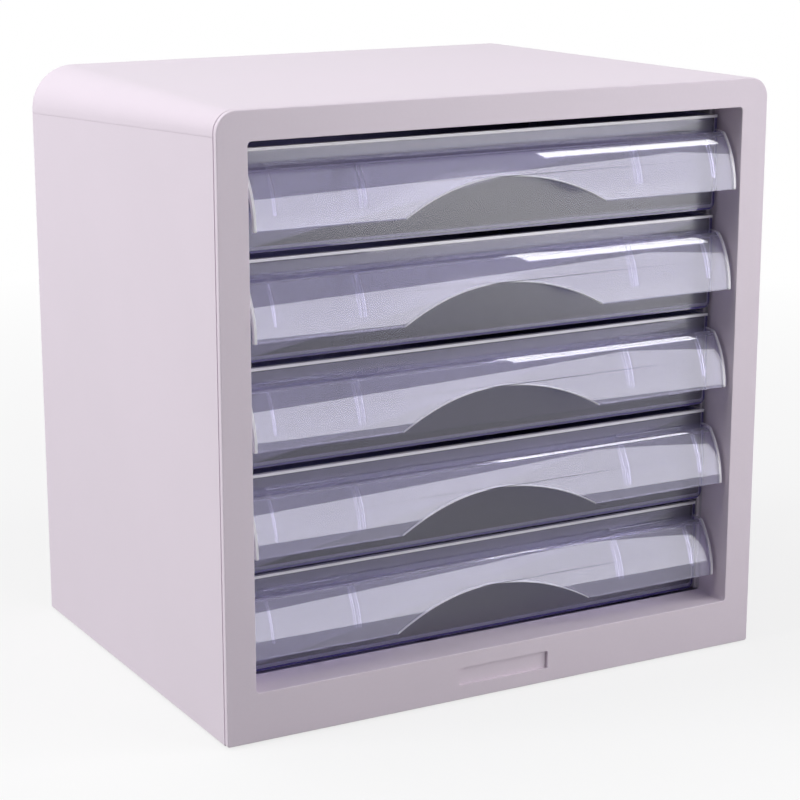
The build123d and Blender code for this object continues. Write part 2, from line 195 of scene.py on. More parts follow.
# %% A pale floor that keeps the shadow
grey_as_light = 0.30
grey_as_seen = 0.76
grey_step = grey_as_seen - grey_as_light
floor_paint = bpy.data.materials.new("studio_floor")
floor_paint.use_nodes = True
paint = floor_paint.node_tree
paint.nodes.clear()
plain = add_node(paint, "ShaderNodeBsdfDiffuse")
shade_of_grey = add_node(paint, "ShaderNodeMath", {1: grey_step, 2: grey_as_light},
                         operation="MULTIPLY_ADD")
link(paint, seen_directly(paint), shade_of_grey.inputs[0])
link(paint, shade_of_grey.outputs[0], plain.inputs["Color"])
glow = add_node(paint, "ShaderNodeEmission", {"Strength": 1.0})
place = add_node(paint, "ShaderNodeTexCoord")
reach = add_node(paint, "ShaderNodeVectorMath", operation="LENGTH")
fade = add_node(paint, "ShaderNodeMapRange",
                {"From Min": 0.3, "From Max": 1.2, "To Min": 0.76, "To Max": 1.0})
link(paint, place.outputs["Object"], reach.inputs[0])
link(paint, reach.outputs["Value"], fade.inputs["Value"])
share = add_node(paint, "ShaderNodeMath", operation="MULTIPLY")
link(paint, fade.outputs["Result"], share.inputs[1])
mixed = add_node(paint, "ShaderNodeMixShader")
paint_out = add_node(paint, "ShaderNodeOutputMaterial")
link(paint, seen_directly(paint), share.inputs[0])
link(paint, share.outputs[0], mixed.inputs[0])
link(paint, plain.outputs[0], mixed.inputs[1])
link(paint, glow.outputs[0], mixed.inputs[2])
link(paint, mixed.outputs[0], paint_out.inputs["Surface"])

bpy.ops.object.select_all(action="DESELECT")
bpy.ops.mesh.primitive_plane_add(size=14, location=(0, 0, 0))
floor = bpy.context.object
floor.name = "studio_floor"
floor.data.materials.append(floor_paint)
print("floor laid")

# %% [markdown]
# ## Finishes
# Moulded plastic is never one flat colour. Its skin has a fine grain from the spark-eroded
# mould, a slow drift of tone from the flow of the melt, and a gloss that varies a little
# with both. One shader group makes those for every opaque plastic here, and each material
# sets its own colour, grain and gloss.

# %% A shader group for moulded skin
def new_group(name, inputs, outputs):
    """An empty shader group with named inputs, which are name and value, and outputs."""
    group = bpy.data.node_groups.new(name, "ShaderNodeTree")
    for label, value in inputs:
        kind = "NodeSocketColor" if isinstance(value, tuple) else "NodeSocketFloat"
        socket = group.interface.new_socket(name=label, in_out="INPUT", socket_type=kind)
        socket.default_value = value
    for label, kind in outputs:
        group.interface.new_socket(name=label, in_out="OUTPUT", socket_type=kind)
    start = group.nodes.new("NodeGroupInput")
    end = group.nodes.new("NodeGroupOutput")
    return group, start, end


skin, given, made = new_group(
    "moulded_skin",
    [("Colour", (0.8, 0.8, 0.8, 1)), ("Drift", 0.04), ("Grain scale", 2600.0),
     ("Grain depth", 0.00003), ("Roughness", 0.4)],
    [("Colour", "NodeSocketColor"), ("Roughness", "NodeSocketFloat"),
     ("Normal", "NodeSocketVector")],
)
where = add_node(skin, "ShaderNodeTexCoord")
flow = add_node(skin, "ShaderNodeTexNoise", {"Scale": 7.0, "Detail": 4.0, "Roughness": 0.55})
speck = add_node(skin, "ShaderNodeTexNoise", {"Scale": 620.0, "Detail": 3.0, "Roughness": 0.6})
grain = add_node(skin, "ShaderNodeTexNoise", {"Detail": 2.0, "Roughness": 0.5})
for texture in (flow, speck, grain):
    link(skin, where.outputs["Object"], texture.inputs["Vector"])
link(skin, given.outputs["Grain scale"], grain.inputs["Scale"])

# Flow and a share of the specks are added up, and their usual level is taken off again.
speck_share = 0.35
usual_level = 0.675
gloss_swing = 0.22
both = add_node(skin, "ShaderNodeMath", {1: speck_share}, operation="MULTIPLY_ADD")
link(skin, speck.outputs["Fac"], both.inputs[0])
link(skin, flow.outputs["Fac"], both.inputs[2])
around_zero = add_node(skin, "ShaderNodeMath", {1: usual_level}, operation="SUBTRACT")
link(skin, both.outputs[0], around_zero.inputs[0])
tone = add_node(skin, "ShaderNodeMath", {2: 1.0}, operation="MULTIPLY_ADD")
link(skin, around_zero.outputs[0], tone.inputs[0])
link(skin, given.outputs["Drift"], tone.inputs[1])
toned = add_node(skin, "ShaderNodeVectorMath", operation="SCALE")
link(skin, given.outputs["Colour"], toned.inputs[0])
link(skin, tone.outputs[0], toned.inputs["Scale"])
gloss = add_node(skin, "ShaderNodeMath", {1: gloss_swing}, operation="MULTIPLY_ADD")
link(skin, around_zero.outputs[0], gloss.inputs[0])
link(skin, given.outputs["Roughness"], gloss.inputs[2])
relief = add_node(skin, "ShaderNodeBump", {"Strength": 1.0})
link(skin, given.outputs["Grain depth"], relief.inputs["Distance"])
link(skin, grain.outputs["Fac"], relief.inputs["Height"])
link(skin, toned.outputs[0], made.inputs["Colour"])
link(skin, gloss.outputs[0], made.inputs["Roughness"])
link(skin, relief.outputs["Normal"], made.inputs["Normal"])
print("group", skin.name, "with", len(skin.nodes), "nodes")

# %% Opaque plastics and rubber from that group
def new_material(name):
    """A node material with its Principled shader and output."""
    material = bpy.data.materials.new(name)
    material.use_nodes = True
    tree = material.node_tree
    return material, tree, tree.nodes["Principled BSDF"], tree.nodes["Material Output"]


def moulded(name, colour, drift, grain_scale, grain_depth, roughness, shine=0.5):
    """An opaque moulded plastic or rubber; shine is its specular level."""
    material, tree, shader, _ = new_material(name)
    surface = add_node(tree, "ShaderNodeGroup", {
        "Colour": (*colour, 1), "Drift": drift, "Grain scale": grain_scale,
        "Grain depth": grain_depth, "Roughness": roughness}, node_tree=skin)
    link(tree, surface.outputs["Colour"], shader.inputs["Base Color"])
    link(tree, surface.outputs["Roughness"], shader.inputs["Roughness"])
    link(tree, surface.outputs["Normal"], shader.inputs["Normal"])
    shader.inputs["Specular IOR Level"].default_value = shine
    print("material", name)
    return material


case_plastic = moulded("pale_case_moulding", (0.77, 0.68, 0.765), 0.10, 2600, 0.00003, 0.42,
                       shine=0.3)
# The racks are the case plastic painted darker grey: painted shade for the dim inside of the case.
rack_plastic_with_painted_shade = moulded("rack_moulding_painted_shade", (0.60, 0.56, 0.61), 0.10, 1900, 0.00004, 0.45)
foot_rubber = moulded("black_pad_rubber", (0.035, 0.035, 0.038), 0.3, 1400, 0.00006, 0.75)

# %% [markdown]
# ## Clear plastic
# The surface of the drawers isn't equally clear all over. The hoods are polished, the fronts
# of the trays have a satin skin, and the upright ends of hoods and fronts are ground. The
# group below adds that roughness by place: the satin lies between two levels that repeat
# from drawer to drawer, and the ground ends lie outside a distance from the middle plane.
# A texture sees metres, so the places here are in metres, and the levels are shares of the
# way from one drawer to the next.

# %% A shader group for clear skin
drawer_pitch = 0.0584
top_rim = 0.3177
satin_from = 0.08
satin_to = 0.955
end_distance = 0.1516
clear_skin, given, made = new_group(
    "clear_skin",
    [("Ripple depth", 0.00002), ("Haze", 0.02), ("Satin", 0.2), ("End grain", 0.35)],
    [("Roughness", "NodeSocketFloat"), ("Normal", "NodeSocketVector")],
)
where = add_node(clear_skin, "ShaderNodeTexCoord")
ripple = add_node(clear_skin, "ShaderNodeTexNoise",
                  {"Scale": 26.0, "Detail": 1.0, "Roughness": 0.4})
rub = add_node(clear_skin, "ShaderNodeTexNoise", {"Scale": 90.0, "Detail": 5.0, "Roughness": 0.7})
link(clear_skin, where.outputs["Object"], ripple.inputs["Vector"])
link(clear_skin, where.outputs["Object"], rub.inputs["Vector"])
haze = add_node(clear_skin, "ShaderNodeMath", operation="MULTIPLY")
link(clear_skin, rub.outputs["Fac"], haze.inputs[0])
link(clear_skin, given.outputs["Haze"], haze.inputs[1])
axes = add_node(clear_skin, "ShaderNodeSeparateXYZ")
link(clear_skin, where.outputs["Object"], axes.inputs[0])

# The height counted in drawers from the top rim; its fraction is the level in one drawer.
turns = add_node(clear_skin, "ShaderNodeMath", {1: 1 / drawer_pitch, 2: -top_rim / drawer_pitch},
                 operation="MULTIPLY_ADD")
link(clear_skin, axes.outputs["Z"], turns.inputs[0])
level = add_node(clear_skin, "ShaderNodeMath", operation="FRACT")
link(clear_skin, turns.outputs[0], level.inputs[0])
above_skirt = add_node(clear_skin, "ShaderNodeMath", {1: satin_from}, operation="GREATER_THAN")
below_rim = add_node(clear_skin, "ShaderNodeMath", {1: satin_to}, operation="LESS_THAN")
link(clear_skin, level.outputs[0], above_skirt.inputs[0])
link(clear_skin, level.outputs[0], below_rim.inputs[0])
satin_zone = add_node(clear_skin, "ShaderNodeMath", operation="MULTIPLY")
link(clear_skin, above_skirt.outputs[0], satin_zone.inputs[0])
link(clear_skin, below_rim.outputs[0], satin_zone.inputs[1])
fronts = add_node(clear_skin, "ShaderNodeMath", operation="MULTIPLY_ADD")
link(clear_skin, satin_zone.outputs[0], fronts.inputs[0])
link(clear_skin, given.outputs["Satin"], fronts.inputs[1])
link(clear_skin, haze.outputs[0], fronts.inputs[2])

sideways = add_node(clear_skin, "ShaderNodeMath", operation="ABSOLUTE")
link(clear_skin, axes.outputs["X"], sideways.inputs[0])
ground_end = add_node(clear_skin, "ShaderNodeMath", {1: end_distance}, operation="GREATER_THAN")
link(clear_skin, sideways.outputs[0], ground_end.inputs[0])
roughness = add_node(clear_skin, "ShaderNodeMath", operation="MULTIPLY_ADD")
link(clear_skin, ground_end.outputs[0], roughness.inputs[0])
link(clear_skin, given.outputs["End grain"], roughness.inputs[1])
link(clear_skin, fronts.outputs[0], roughness.inputs[2])
wave = add_node(clear_skin, "ShaderNodeBump", {"Strength": 1.0})
link(clear_skin, given.outputs["Ripple depth"], wave.inputs["Distance"])
link(clear_skin, ripple.outputs["Fac"], wave.inputs["Height"])
link(clear_skin, roughness.outputs[0], made.inputs["Roughness"])
link(clear_skin, wave.outputs["Normal"], made.inputs["Normal"])
print("group", clear_skin.name, "with", len(clear_skin.nodes), "nodes")

# %% [markdown]
# ## Four clear finishes
# The tint of clear plastic builds up with the way through it, so flat walls stay pale and
# edges look navy. That is what Volume Absorption does. Two more materials paint light on the
# edges here: a pale one is a painted highlight for the rounded cut and rim edges, and a deep
# blue one is painted shade for the tint that gathers along a whole sheet at the rim of a front
# plate. Shadows pass through: for a shadow ray the shader is swapped for a transparent one,
# because real clear plastic lets most of the light go on into the case.

# %% Clear tinted plastics
def clear_plastic(name, colour, clearness, haze_amount, satin, density, let_light):
    """A clear plastic; satin roughens drawer fronts, let_light is what its shadow lets by."""
    material, tree, shader, output = new_material(name)
    surface = add_node(tree, "ShaderNodeGroup", {"Haze": haze_amount, "Satin": satin},
                       node_tree=clear_skin)
    link(tree, surface.outputs["Roughness"], shader.inputs["Roughness"])
    link(tree, surface.outputs["Normal"], shader.inputs["Normal"])
    shader.inputs["Base Color"].default_value = (*colour, 1)
    shader.inputs["Transmission Weight"].default_value = clearness
    shader.inputs["IOR"].default_value = 1.59
    path = add_node(tree, "ShaderNodeLightPath")
    let_by = add_node(tree, "ShaderNodeBsdfTransparent", {"Color": (*let_light, 1)})
    mix = add_node(tree, "ShaderNodeMixShader")
    link(tree, path.outputs["Is Shadow Ray"], mix.inputs[0])
    link(tree, shader.outputs[0], mix.inputs[1])
    link(tree, let_by.outputs[0], mix.inputs[2])
    link(tree, mix.outputs[0], output.inputs["Surface"])
    inside = add_node(tree, "ShaderNodeVolumeAbsorption",
                      {"Color": (0.34, 0.30, 0.66, 1), "Density": density})
    link(tree, inside.outputs[0], output.inputs["Volume"])
    print("material", name)
    return material


clear_pull = clear_plastic("clear_hood_plastic", (0.80, 0.78, 0.92), 0.90, 0.008, 0.0, 45,
                           (0.66, 0.65, 0.74))
clear_tray = clear_plastic("clear_tray_plastic", (0.67, 0.64, 0.87), 0.87, 0.02, 0.22, 45,
                           (0.80, 0.80, 0.86))
# A pale, cloudy clear plastic that paints the highlight which rounded edges catch.
painted_highlight_edge = clear_plastic("painted_highlight_on_clear_plastic", (0.96, 0.94, 0.99), 0.25, 0.3, 0.0, 20,
                           (0.66, 0.65, 0.74))
# A deep blue clear plastic that paints shade where the tint of a whole sheet gathers at its rim.
painted_shade_edge = clear_plastic("painted_shade_on_clear_plastic", (0.09, 0.07, 0.26), 0.35, 0.08, 0.0, 60,
                          (0.30, 0.28, 0.45))

# %% [markdown]
# ## Steel for the screws
# Zinc plating is bright but a little cloudy. Its roughness and tone vary in small patches,
# and the heads carry tool marks too fine to count, so a second, much finer noise feeds the
# bump.

# %% Zinc-plated steel
screw_steel, tree, shader, _ = new_material("zinc_plated_steel")
where = add_node(tree, "ShaderNodeTexCoord")
cloud = add_node(tree, "ShaderNodeTexNoise", {"Scale": 420.0, "Detail": 4.0})
tool_marks = add_node(tree, "ShaderNodeTexNoise", {"Scale": 2400.0, "Detail": 1.0})
link(tree, where.outputs["Object"], cloud.inputs["Vector"])
link(tree, where.outputs["Object"], tool_marks.inputs["Vector"])
plating = add_node(tree, "ShaderNodeValToRGB")
plating.color_ramp.elements[0].color = (0.42, 0.43, 0.45, 1)
plating.color_ramp.elements[1].color = (0.72, 0.72, 0.70, 1)
cloudy = add_node(tree, "ShaderNodeMapRange", {"To Min": 0.22, "To Max": 0.42})
scratched = add_node(tree, "ShaderNodeBump", {"Strength": 0.4, "Distance": 0.00004})
link(tree, cloud.outputs["Fac"], plating.inputs["Fac"])
link(tree, cloud.outputs["Fac"], cloudy.inputs["Value"])
link(tree, tool_marks.outputs["Fac"], scratched.inputs["Height"])
link(tree, plating.outputs["Color"], shader.inputs["Base Color"])
link(tree, cloudy.outputs["Result"], shader.inputs["Roughness"])
link(tree, scratched.outputs["Normal"], shader.inputs["Normal"])
shader.inputs["Metallic"].default_value = 1.0
print("material", screw_steel.name)

# %% [markdown]
# ## Working by hand, in code
# Each new piece starts as a primitive at its size and place and is shaped in edit mode. In
# code there is no mouse, so faces and edges are picked by where they are or which way they
# run. `editing` opens one piece with nothing selected, and `pick` selects what passes a test.
# The moves that come back in every piece, such as a cut right across it or the rounding of
# its last creases, have a helper each, and `join_frame` tells the frame what a piece is.

# %% Helpers that start and select
def only(piece):
    """Makes one piece the whole selection."""
    bpy.ops.object.select_all(action="DESELECT")
    piece.select_set(True)
    bpy.context.view_layer.objects.active = piece


def settle(piece, name):
    """Names a piece and moves its place, turn and scale into its mesh."""
    piece.name = name
    bpy.ops.object.transform_apply(location=True, rotation=True, scale=True)
    return piece


def start_box(name, x, y, z):
    """A cube primitive between two limits in millimetres on each axis."""
    bpy.ops.object.select_all(action="DESELECT")
    middle = [(low + high) / 2 * mm for low, high in (x, y, z)]
    size = [(high - low) * mm for low, high in (x, y, z)]
    bpy.ops.mesh.primitive_cube_add(size=1, location=middle, scale=size)
    return settle(bpy.context.object, name)


@contextmanager
def editing(piece, kind="EDGE"):
    """Opens one piece in edit mode with nothing selected."""
    only(piece)
    bpy.ops.object.mode_set(mode="EDIT")
    bpy.ops.mesh.select_mode(type=kind)
    bpy.ops.mesh.select_all(action="DESELECT")
    yield bmesh.from_edit_mesh(piece.data)
    bpy.ops.object.mode_set(mode="OBJECT")


def pick(piece, kind, test):
    """Selects faces, edges or points by a test on their middle, in millimetres, and direction."""
    shape = bmesh.from_edit_mesh(piece.data)
    shape.normal_update()
    chosen = 0
    for item in {"FACE": shape.faces, "EDGE": shape.edges, "VERT": shape.verts}[kind]:
        if kind == "FACE":
            middle, way = item.calc_center_median(), item.normal
        elif kind == "EDGE":
            ends = item.verts[0].co, item.verts[1].co
            middle, way = (ends[0] + ends[1]) / 2, (ends[1] - ends[0]).normalized()
        else:
            middle, way = item.co, item.normal
        if test(middle / mm, way):
            item.select_set(True)
            chosen += 1
    shape.select_flush_mode()
    bmesh.update_edit_mesh(piece.data)
    return chosen


# %% Helpers that shape and finish
def extrude(x, y, z):
    """Extrudes the selected faces or edges and moves them, in millimetres."""
    bpy.ops.mesh.extrude_region_move(TRANSFORM_OT_translate={"value": (x * mm, y * mm, z * mm)})


def cut_across(axis, level, **settings):
    """Cuts a whole piece that is open in edit mode at a level on one axis, in millimetres."""
    along = tuple(int(letter == axis) for letter in "xyz")
    bpy.ops.mesh.select_all(action="SELECT")
    bpy.ops.mesh.bisect(plane_co=Vector(along) * level * mm, plane_no=along, **settings)


def turn_faces_out():
    """Makes all faces of a piece that is open in edit mode point outwards."""
    bpy.ops.mesh.select_all(action="SELECT")
    bpy.ops.mesh.normals_make_consistent(inside=False)


def round_edges(piece, radius, steps, test, clamp=True):
    """Rounds the edges that pass a test."""
    with editing(piece, "EDGE"):
        pick(piece, "EDGE", test)
        bpy.ops.mesh.bevel(offset=radius * mm, segments=steps, affect="EDGES", clamp_overlap=clamp)


def apply_modifier(piece, kind, **settings):
    """Adds one modifier with its settings and applies it."""
    only(piece)
    modifier = piece.modifiers.new(kind.lower(), kind)
    for key, value in settings.items():
        setattr(modifier, key, value)
    bpy.ops.object.modifier_apply(modifier=modifier.name)


def round_creases(piece, width, steps, angle, clamp=True):
    """Rounds every edge that is sharper than an angle."""
    apply_modifier(piece, "BEVEL", width=width * mm, segments=steps, limit_method="ANGLE",
                   angle_limit=radians(angle), use_clamp_overlap=clamp)


def combine(piece, tool, operation):
    """Cuts a tool out of a piece, or melts it into the piece, and removes the tool."""
    apply_modifier(piece, "BOOLEAN", operation=operation, object=tool, solver="EXACT")
    mesh = tool.data
    bpy.data.objects.remove(tool)
    bpy.data.meshes.remove(mesh)


def shade(piece):
    """Shades smooth up to 40 degrees, with normals that follow the large faces."""
    only(piece)
    bpy.ops.object.shade_smooth_by_angle(angle=radians(40))
    apply_modifier(piece, "WEIGHTED_NORMAL", mode="FACE_AREA", weight=50, keep_sharp=True)


def soften(piece, width):
    """Merges points that nearly touch, rounds every crease left, and shades the piece smooth."""
    with editing(piece, "VERT"):
        bpy.ops.mesh.select_all(action="SELECT")
        bpy.ops.mesh.remove_doubles(threshold=0.05 * mm)
    round_creases(piece, width, 2, 35)
    shade(piece)


def join_frame(piece, body, node, material):
    """Hands a finished piece to the frame: its body, the node it stands for and its finish."""
    if len(piece.data.materials) == 0:
        piece.data.materials.append(material)
    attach(piece, body)
    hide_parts(node)
    print(piece.name, "stands for", node, "with", len(piece.data.polygons), "faces")


# %% [markdown]
# ## The front frame
# The case looks at you through a picture frame: a flat face with a rounded outer edge, a big
# opening with deep jambs, and a shallow recess in the bottom rail. It is easiest as a slab
# whose corners are rounded first, with the jambs melted on and the opening cut through.

# %% Model the slab, the jambs and the opening
opening_half = 155.0
opening_low = 29.0
opening_high = 323.8
jamb_wall = 2.0
jamb_back = -106.5
groove = 0.8
frame_piece = start_box("front_frame_moulding", (-case_half, case_half), (front_y, shell_y - 1),
                        (case_low, case_top))
round_edges(frame_piece, front_corner, 12, lambda p, way: abs(way.y) > 0.9 and p.z > 300)
round_edges(frame_piece, 1.5, 3, lambda p, way: abs(way.y) > 0.9 and p.z < 5)
with editing(frame_piece, "FACE"):
    pick(frame_piece, "FACE", lambda p, way: way.y > 0.9)
    bpy.ops.mesh.inset(thickness=groove * mm, use_even_offset=True)
    extrude(0, 1, 0)
jambs = start_box("jambs", (-opening_half - jamb_wall, opening_half + jamb_wall),
                  (front_y + 1, jamb_back), (opening_low - jamb_wall, opening_high + jamb_wall))
combine(frame_piece, jambs, "UNION")
window = start_box("window", (-opening_half, opening_half), (-140, -100),
                   (opening_low, opening_high))
round_edges(window, 2.0, 4, lambda p, way: abs(way.y) > 0.9)
combine(frame_piece, window, "DIFFERENCE")
print("frame with its opening:", len(frame_piece.data.polygons), "faces")

# %% Sink the recess and round the edges
rail_recess = start_box("rail_recess", (-29.5, 29.5), (-140, front_y + 1.9), (9.6, 20.0))
round_edges(rail_recess, 0.8, 3, lambda p, way: abs(way.y) > 0.9)
combine(frame_piece, rail_recess, "DIFFERENCE")


def on_the_face(p, way):
    """True on the edges that lie in the front face."""
    return p.y < front_y + 0.1 and abs(way.y) < 0.1


def press_flat(piece, axis, level, test):
    """Presses the points that pass a test onto a plane across one axis."""
    keep = [1, 1, 1]
    keep["xyz".index(axis)] = 0
    with editing(piece, "VERT"):
        chosen = pick(piece, "VERT", test)
        if chosen:
            bpy.ops.transform.resize(value=keep, center_override=(level * mm,) * 3)
    print(piece.name, "has", chosen, "points pressed flat")


round_edges(frame_piece, 1.1, 4, lambda p, way: on_the_face(p, way) and (
    abs(p.x) > 160 or p.z > 330 or p.z < 3))
round_edges(frame_piece, 0.8, 3, lambda p, way: on_the_face(p, way) and (
    abs(p.x) < 156 and (p.z > 28 or abs(p.x) > 154) and p.z < 325))
soften(frame_piece, 0.25)
press_flat(frame_piece, "y", front_y, lambda p, way: p.y < front_y)
join_frame(frame_piece, "case", "front_frame", case_plastic)

# %% [markdown]
# ## The top cover
# The long edges roll over at a radius that grows from 11.5 mm at the front to 26 mm at the
# back, and the seam below them slopes to match. Two flat outlines with rounded corners, one
# at each end, are bridged into that slim tapering roll, and Solidify gives the shell its wall.

# %% Two outlines and a skin between them
shell_wall = 2.5
back_corner = 26.0
skirt = 2


def cover_outline(name, y, radius):
    """An upright outline of the cover: a flat sheet with its two upper corners rounded."""
    low = case_top - radius - skirt
    bpy.ops.object.select_all(action="DESELECT")
    bpy.ops.mesh.primitive_plane_add(size=1, location=(0, y * mm, (case_top + low) / 2 * mm),
                                     rotation=(pi / 2, 0, 0))
    sheet = bpy.context.object
    sheet.scale = (2 * case_half * mm, (case_top - low) * mm, 1)
    settle(sheet, name)
    with editing(sheet, "VERT"):
        pick(sheet, "VERT", lambda p, way: p.z > case_top - 1)
        bpy.ops.mesh.bevel(offset=radius * mm, segments=18, affect="VERTICES")
    return sheet


cover = cover_outline("top_cover_shell", shell_y, front_corner)
back_outline = cover_outline("cover_back", back_y, back_corner)
only(cover)
back_outline.select_set(True)
bpy.ops.object.join()
with editing(cover, "EDGE"):
    bpy.ops.mesh.select_all(action="SELECT")
    bpy.ops.mesh.bridge_edge_loops()
print("closed cover:", len(cover.data.polygons), "faces")

# %% Open the cover below and in front, round its rear rim and give it a wall
with editing(cover, "FACE"):
    pick(cover, "FACE", lambda p, way: way.z < -0.5 or (way.y < -0.9 and p.y < shell_y + 1))
    bpy.ops.mesh.delete(type="FACE")
with editing(cover, "FACE"):
    turn_faces_out()
rim_low = case_top - back_corner - skirt + 0.5
round_edges(cover, 3.0, 5, lambda p, way: p.y > back_y - 0.1 and abs(way.y) < 0.1 and p.z > rim_low,
            clamp=False)
apply_modifier(cover, "SOLIDIFY", thickness=shell_wall * mm, offset=-1, use_even_offset=False)
soften(cover, 0.3)
join_frame(cover, "case", "top_cover", case_plastic)

# %% [markdown]
# ## The side panels
# Each side is one flat wall, cut along the sloping seam, that turns in by a few millimetres
# at the back. A solid block is hollowed from inside, which leaves the wall and its return,
# and the left panel is the right one mirrored, with its faces turned out again.

# %% Model the side panels
def mirrored(part):
    """A left-hand copy of a right-hand part."""
    only(part)
    bpy.ops.object.duplicate()
    copy = bpy.context.object
    copy.scale = (-1, 1, 1)
    bpy.ops.object.transform_apply(location=True, rotation=True, scale=True)
    with editing(copy, "FACE"):
        turn_faces_out()
    return copy


panel = start_box("right_panel_moulding", (166, case_half), (shell_y, back_y),
                  (case_low, case_top - front_corner - skirt))
with editing(panel, "VERT"):
    pick(panel, "VERT", lambda p, way: p.z > 300 and p.y > 0)
    bpy.ops.transform.translate(value=(0, 0, (front_corner - back_corner) * mm))
hollow = start_box("hollow", (150, case_half - shell_wall), (-150, back_y - shell_wall), (-10, 400))
round_edges(hollow, 2.0, 4, lambda p, way: abs(way.z) > 0.9 and p.x > 160 and p.y > 0)
combine(panel, hollow, "DIFFERENCE")
round_edges(panel, 3.0, 5, lambda p, way: abs(way.z) > 0.9 and p.x > 172 and p.y > 132)
round_edges(panel, 0.7, 3, lambda p, way: p.z < case_low + 0.1 and (
    p.x > case_half - 0.1 or p.y > back_y - 0.1 or abs(way.x * way.y) > 0.01))
left_panel = mirrored(panel)
left_panel.name = "left_panel_moulding"
soften(panel, 0.4)
soften(left_panel, 0.4)
join_frame(panel, "case", "right_side_panel", case_plastic)
join_frame(left_panel, "case", "left_side_panel", case_plastic)

# %% [markdown]
# ## The hooded pull
# The pull is the part that people notice: a flange off the drawer front, then a convex arc
# that ends upright, with a shallow arch cut for the fingers. One edge as wide as the drawer
# is spun round the centre of the arc, carried on as the flange, and given its wall by
# Solidify. The arch is a big cylinder cut away. Low ribs and clips come last.

# %% Sizes of the pull, from the rim and the face of its drawer
plate_half = 152.5
hood_depth = 20.3
hood_low = -40.7
hood_top = -8.2
hood_wall = 2.3
flange_depth = 8.3
flange_fall = 0.8
arc_high = hood_top - flange_fall
arc_rise = arc_high - hood_low
arc_reach = hood_depth - flange_depth
arc_radius = (arc_rise ** 2 + arc_reach ** 2) / (2 * arc_reach)
arc_centre_y = arc_radius - hood_depth
arc_turn = asin(arc_rise / arc_radius)
arc_centre = (0, arc_centre_y * mm, hood_low * mm)
print("hood arc: radius", round(arc_radius, 2), "mm, turn", round(arc_turn * 180 / pi, 1),
      "degrees")

# %% Spin the arc and carry it on as the flange
bpy.ops.object.select_all(action="DESELECT")
bpy.ops.mesh.primitive_plane_add(size=2 * plate_half * mm, location=(0, 0, 0))
pull = bpy.context.object
pull.name = "hood"
with editing(pull, "VERT"):
    pick(pull, "VERT", lambda p, way: p.y > 1)
    bpy.ops.mesh.delete(type="VERT")
    bpy.ops.mesh.select_all(action="SELECT")
    bpy.ops.transform.translate(value=(0, (plate_half - hood_depth) * mm, hood_low * mm))
    bpy.ops.mesh.spin(steps=36, angle=arc_turn, center=arc_centre, axis=(1, 0, 0))
    bpy.ops.mesh.select_all(action="DESELECT")
    pick(pull, "EDGE", lambda p, way: p.z > arc_high - 0.05)
    extrude(0, flange_depth + 1, flange_fall + 0.1)
lowest = min(corner.co.z for corner in pull.data.vertices)
highest = max(corner.co.z for corner in pull.data.vertices)
print("spun strip:", len(pull.data.vertices), "points, from", round(lowest / mm, 2), "to",
      round(highest / mm, 2), "mm")

# %% Give the hood its wall
round_edges(pull, 1.0, 5, lambda p, way: (
    abs(way.x) > 0.9 and abs(p.y + flange_depth) < 0.05 and p.z > arc_high - 0.1))
with editing(pull, "FACE") as shape:
    turn_faces_out()
    lowest = min(shape.faces, key=lambda face: face.calc_center_median().z)
    if lowest.normal.y > 0:
        bpy.ops.mesh.flip_normals()
apply_modifier(pull, "SOLIDIFY", thickness=hood_wall * mm, offset=-1, use_even_offset=True)
with editing(pull, "FACE"):
    cut_across("y", 0, clear_outer=True, use_fill=True)
print("hood with its wall:", len(pull.data.polygons), "faces")

# %% Cut the arch and round the rims
arch_width = 126
arch_height = 17.5
arch_radius = ((arch_width / 2) ** 2 + arch_height ** 2) / (2 * arch_height)
arch_centre_z = hood_low + arch_height - arch_radius
end_strip = 1.8
bpy.ops.object.select_all(action="DESELECT")
bpy.ops.mesh.primitive_cylinder_add(vertices=240, radius=arch_radius * mm, depth=20 * mm,
                                    location=(0, -20 * mm, arch_centre_z * mm),
                                    rotation=(pi / 2, 0, 0))
combine(pull, settle(bpy.context.object, "arch"), "DIFFERENCE")
with editing(pull, "VERT"):
    bpy.ops.mesh.select_all(action="SELECT")
    bpy.ops.mesh.remove_doubles(threshold=0.15 * mm)
    for side in (-1, 1):
        cut_across("x", side * (plate_half - end_strip))
round_creases(pull, 0.6, 3, 40, clamp=False)
print("hood with its arch:", len(pull.data.polygons), "faces")

# %% [markdown]
# ## Ribs and clips
# Under the hood, thin ribs follow the arc: one near each end and a close pair further in.
# Between them sits a clip that passes through the drawer front and hooks behind it. A rib is
# a small upright face spun round the same centre, so it follows the arc by itself.

# %% Model the ribs and clips of the right-hand side
rib_low = arc_high - hood_wall - 22
rib_end = radians(42.6)
rib_face = 3.35
face_shift = 0.52


def hood_rib(middle, rib_wall):
    """A low rib under the arc, 2.2 mm high and sunk half into the wall."""
    inside = arc_radius - hood_wall
    start = asin((rib_low - hood_low) / inside)
    bpy.ops.object.select_all(action="DESELECT")
    bpy.ops.mesh.primitive_plane_add(
        size=1, location=(middle * mm, (arc_centre_y - inside + face_shift) * mm, hood_low * mm))
    rib = bpy.context.object
    rib.scale = (rib_wall * mm, rib_face * mm, 1)
    settle(rib, "hood_rib")
    with editing(rib, "FACE"):
        bpy.ops.mesh.select_all(action="SELECT")
        bpy.ops.transform.rotate(value=start, orient_axis="X", center_override=arc_centre)
        bpy.ops.mesh.spin(steps=30, angle=rib_end - start, center=arc_centre, axis=(1, 0, 0))
        turn_faces_out()
    return rib


